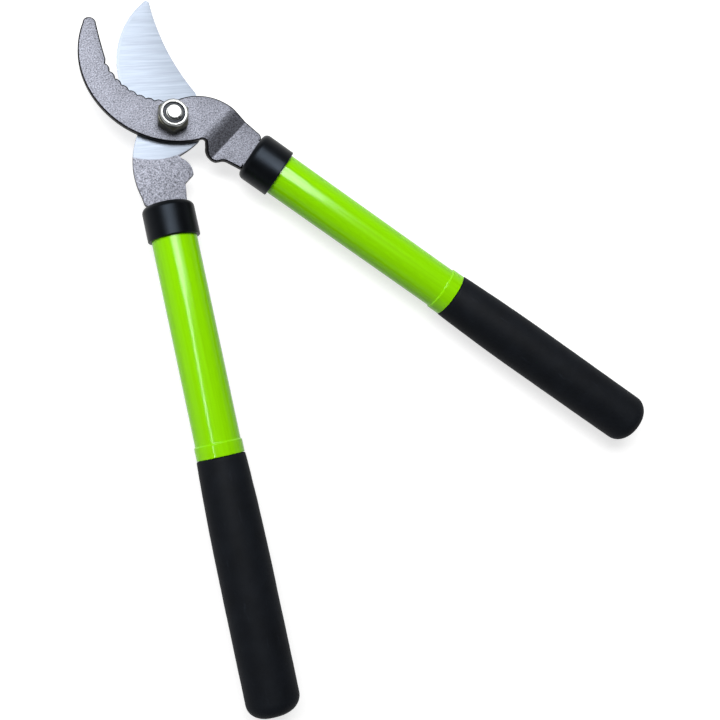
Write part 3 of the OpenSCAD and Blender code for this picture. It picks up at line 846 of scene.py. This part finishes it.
class LOPPERS_OT_ferrules(Operator):
    """Builds the moulded ferrules where the tangs enter the tubes"""
    bl_idname = "loppers.ferrules"
    bl_label = "Ferrules"

    def execute(self, context):
        plastic = moulded_plastic("moulded_polypropylene", context.scene.lopper_handles.plastic, 0.36, 0.6)
        front, back = 3, 0.5
        profile = [(0, FERRULE_AT), *corner((FERRULE_R - front, FERRULE_AT + front), front, -90, 0, 12),
                   *corner((FERRULE_R - back, FERRULE_END - back), back, 0, 90, 5),
                   (FERRULE_BORE, FERRULE_END), (FERRULE_BORE, TUBE_FRONT), (0, TUBE_FRONT)]
        for name, (side, _) in SIDES.items():
            piece = turned("ferrule_" + name, profile, on_handle(side), plastic)
            piece = cut(piece, self.slot_cutter(side, plastic))
            carry_on_handle(piece, name, "ferrule")
        return {"FINISHED"}

    def slot_cutter(self, side, material):
        """A block that opens the ferrule's front for the tongue."""
        wall = TUBE_FRONT - FERRULE_AT
        thickness = HOOK_T if side > 0 else BLADE_T
        block = (2 * TONGUE_HALF + 2 * GAP, thickness + 2 * GAP, 2 * wall)
        made = bmesh.new()
        bmesh.ops.create_cube(made, size=1)
        bmesh.ops.scale(made, vec=[length * MM for length in block], verts=made.verts)
        bmesh.ops.translate(made, vec=(0, 0, (FERRULE_AT + wall / 2) * MM), verts=made.verts)
        made.transform(on_handle(side))
        return finished("slot_cutter", plain_mesh("slot_cutter", made), [material])


class LOPPERS_OT_tubes(Operator):
    """Builds the enamelled handle tubes, with the raised band in front of each grip"""
    bl_idname = "loppers.tubes"
    bl_label = "Tubes"

    def execute(self, context):
        enamel = stove_enamel(context.scene.lopper_handles)
        ease, crease, rise, seat = 0.25, 0.05, 0.4, GRIP_AT - GAP
        neck, step = GRIP_AT - 2.7, GRIP_AT - 1.2
        profile = [(TUBE_BORE, TUBE_FRONT), (TUBE_R, TUBE_FRONT), (TUBE_R, BAND_AT - 2 * crease),
                   (TUBE_R + crease, BAND_AT + crease),
                   *corner((BAND_R - ease, BAND_AT + rise + ease), ease, -60, 0, 4),
                   *corner((BAND_R - ease, seat - ease), ease, 0, 90, 4), (SEAT_R, seat), (SEAT_R, TUBE_END),
                   (SEAT_BORE, TUBE_END), (SEAT_BORE, step), (TUBE_BORE, neck)]
        for name, (side, _) in SIDES.items():
            piece = turned("tube_" + name, profile, on_handle(side), enamel, Steps=128)
            carry_on_handle(piece, name, "tube")
        return {"FINISHED"}


class LOPPERS_OT_grips(Operator):
    """Builds the foam grips, swollen from the front and round at the end"""
    bl_idname = "loppers.grips"
    bl_label = "Grips"

    def execute(self, context):
        look = context.scene.lopper_handles
        foam = foam_rubber(look)
        inner, ease, rows = SEAT_R + GAP, 0.8, 26
        full, body_end = GRIP_AT + GRIP_SWELL, GRIP_END - GRIP_ROUND
        swell = [(GRIP_R - (GRIP_R - GRIP_FRONT_R) * (1 - i / rows) ** 2, GRIP_AT + GRIP_SWELL * i / rows)
                 for i in range(1, rows + 1)]
        straight = [(GRIP_R, full + (body_end - full) * i / rows) for i in range(1, rows)]
        flat = GRIP_R - GRIP_ROUND
        end = [(flat * (1 - i / 4), GRIP_END) for i in range(1, 5)]
        profile = [(inner, GRIP_AT), *corner((GRIP_FRONT_R - ease, GRIP_AT + ease), ease, -90, -5), *swell,
                   *straight, *corner((flat, body_end), GRIP_ROUND, 0, 90, 14), *end,
                   (0, GRIP_FLOOR), (inner, GRIP_FLOOR)]
        for name, (side, _) in SIDES.items():
            piece = turned("grip_" + name, profile, on_handle(side), foam, sharp=40, Steps=128,
                           Dents=look.unevenness)
            carry_on_handle(piece, name, "grip")
        return {"FINISHED"}


class LOPPERS_OT_inner(Operator):
    """Gives the packers, pins and plugs inside the handles their materials"""
    bl_idname = "loppers.inner"
    bl_label = "Inner pieces"

    def execute(self, context):
        packer = moulded_plastic("moulded_packer_nylon", linear("#3A3C40"), 0.5, 0.6)
        zinc = bpy.data.materials["bright_zinc_plate"]
        for name in SIDES:
            for inner in ("upper_packer", "lower_packer", "tang_pin", "end_plug"):
                solid = frame["nodes"][f"{name}_{inner}"]
                solid.data.materials.clear()
                solid.data.materials.append(zinc if inner == "tang_pin" else packer)
        return {"FINISHED"}


class LOPPERS_OT_stage(Operator):
    """Sets the floor, the lamps, the world and the camera"""
    bl_idname = "loppers.stage"
    bl_label = "Stage"

    def execute(self, context):
        look = context.scene.lopper_stage
        self.floor(look)
        self.world(context.scene)
        self.lamp(*SOFTBOX, look.softbox)
        for highlight in HIGHLIGHTS:
            self.highlight(*highlight, look.highlights)
        self.camera(context.scene)
        context.scene.view_settings.view_transform = "Standard"
        return {"FINISHED"}

    def seen(self, tree):
        """1 for what the camera sees, itself or in a reflection, and 0 for the light on the object."""
        path = node(tree, "ShaderNodeLightPath").outputs
        seen = path["Is Camera Ray"]
        for kind in ("Is Glossy Ray", "Is Transmission Ray"):
            seen = node(tree, MATH, [seen, path[kind]], operation="MAXIMUM")
        return seen

    def floor(self, look):
        """A wide pale floor that looks white and keeps a soft shadow."""
        material, tree, place = new_material("white_studio_floor")
        paper = node(tree, NOISE, {"Vector": place, "Scale": per_mm(40)})
        tone = node(tree, RANGE, {"Value": paper, "To Min": 0.99, "To Max": 1.01})
        tint = node(tree, VECTOR, {0: look.floor[:3], "Scale": tone}, operation="SCALE")
        away = node(tree, VECTOR, [place], operation="LENGTH").outputs["Value"]
        white = node(tree, RANGE, {"Value": away, "From Min": 0.5, "From Max": 2.2, "To Min": 0.7, "To Max": 1})
        glow = node(tree, MATH, [self.seen(tree), white], operation="MULTIPLY")
        dressed(material, tint, 1, Specular_IOR_Level=0, Emission_Color=WHITE, Emission_Strength=glow)
        # From below, the floor is as clear as glass
        under = node(tree, "ShaderNodeNewGeometry").outputs["Backfacing"]
        both = node(tree, "ShaderNodeMixShader", {
            0: under, 1: tree.nodes["Principled BSDF"], 2: node(tree, "ShaderNodeBsdfTransparent")})
        feed(tree, tree.nodes["Material Output"].inputs["Surface"], both)
        made = bmesh.new()
        bmesh.ops.create_circle(made, cap_ends=True, segments=96, radius=FLOOR_R)
        floor = finished("floor", plain_mesh("floor", made), [material])
        floor.location.z = -FLOOR_BELOW

    def world(self, scene):
        """A plain fill from one side, and what metal mirrors: grey above, with a white rim at the horizon."""
        world = bpy.data.worlds.new("studio")
        scene.world = world
        world.use_nodes = True
        tree = world.node_tree
        direction = node(tree, "ShaderNodeTexCoord").outputs["Generated"]
        height = node(tree, "ShaderNodeSeparateXYZ", [direction]).outputs["Z"]
        mirrored = node(tree, RANGE, {
            "Value": height, "From Min": 0.12, "From Max": 0.6, "To Min": 1, "To Max": 0.1},
            interpolation_type="SMOOTHSTEP")
        side = node(tree, VECTOR, [direction, FILL_FROM], operation="DOT_PRODUCT").outputs["Value"]
        fill = node(tree, RANGE, {"Value": side, "From Min": -0.5, "From Max": 0.7, "To Max": 0.44})
        strength = node(tree, "ShaderNodeMix", {0: self.seen(tree), 2: fill, 3: mirrored})
        background = tree.nodes["Background"].inputs
        feed(tree, background["Color"], WHITE)
        feed(tree, background["Strength"], strength)

    def lamp(self, name, shape, at, turn, size, power):
        """A soft flat lamp that faces down, turned by an angle in degrees."""
        light = bpy.data.lights.new(name, "AREA")
        light.shape, light.size, light.size_y, light.energy = shape, *size, power
        lamp = linked(name, light)
        lamp.location = (*at, LAMP_HEIGHT)
        lamp.rotation_euler.z = math.radians(turn)
        return lamp

    def highlight(self, handle, name, shape, at, turn, size, power):
        """A lamp that lights nothing, and only shows as a highlight on one handle; its power is per square metre."""
        lamp = self.lamp(f"{handle}_{name}", shape, at, turn, size, power * size[0] * size[1])
        lamp.visible_diffuse = False
        lamp.light_linking.receiver_collection = handle_group(handle)

    def camera(self, scene):
        """The camera above the tool, turned so that the blade points up and to the left."""
        lens = bpy.data.cameras.new("camera")
        lens.lens, lens.sensor_width = 50, 36
        camera = linked("camera", lens)
        view = Matrix.Identity(3)
        for degrees, axis in CAMERA_TURNS:
            view = view @ Matrix.Rotation(math.radians(degrees), 3, axis)
        place = PIVOT + Vector(CAMERA_AT) * MM
        camera.matrix_world = Matrix.Translation(place) @ view.to_4x4()
        scene.camera = camera


class LOPPERS_PT_panel(Panel):
    """Lists the pieces of the loppers and what can be changed on them"""
    bl_label = "Loppers"
    bl_idname = "LOPPERS_PT_panel"
    bl_space_type = "VIEW_3D"
    bl_region_type = "UI"
    bl_category = "Loppers"

    def draw(self, context):
        for group in GROUPS:
            settings = getattr(context.scene, group)
            for name in settings.__annotations__:
                self.layout.prop(settings, name)
        for operator in OPERATORS:
            self.layout.operator(operator.bl_idname)


GROUPS = {
    "lopper_plates": LopperPlates, "lopper_pivot": LopperPivot,
    "lopper_handles": LopperHandles, "lopper_stage": LopperStage,
}
OPERATORS = (
    LOPPERS_OT_stage, LOPPERS_OT_hook, LOPPERS_OT_blade, LOPPERS_OT_pivot, LOPPERS_OT_ferrules, LOPPERS_OT_tubes,
    LOPPERS_OT_grips, LOPPERS_OT_inner,
)
CLASSES = (*GROUPS.values(), *OPERATORS, LOPPERS_PT_panel)


def register():
    """Registers the classes and hangs the settings on the scene."""
    for one in CLASSES:
        bpy.utils.register_class(one)
    for name, group in GROUPS.items():
        setattr(bpy.types.Scene, name, bpy.props.PointerProperty(type=group))


def unregister():
    """Takes the settings and the classes away again."""
    for name in GROUPS:
        delattr(bpy.types.Scene, name)
    for one in reversed(CLASSES):
        bpy.utils.unregister_class(one)


def main():
    """Builds the whole scene."""
    register()
    for operator in OPERATORS:
        getattr(bpy.ops.loppers, operator.bl_idname.split(".")[1])()


if __name__ == "__main__":
    main()
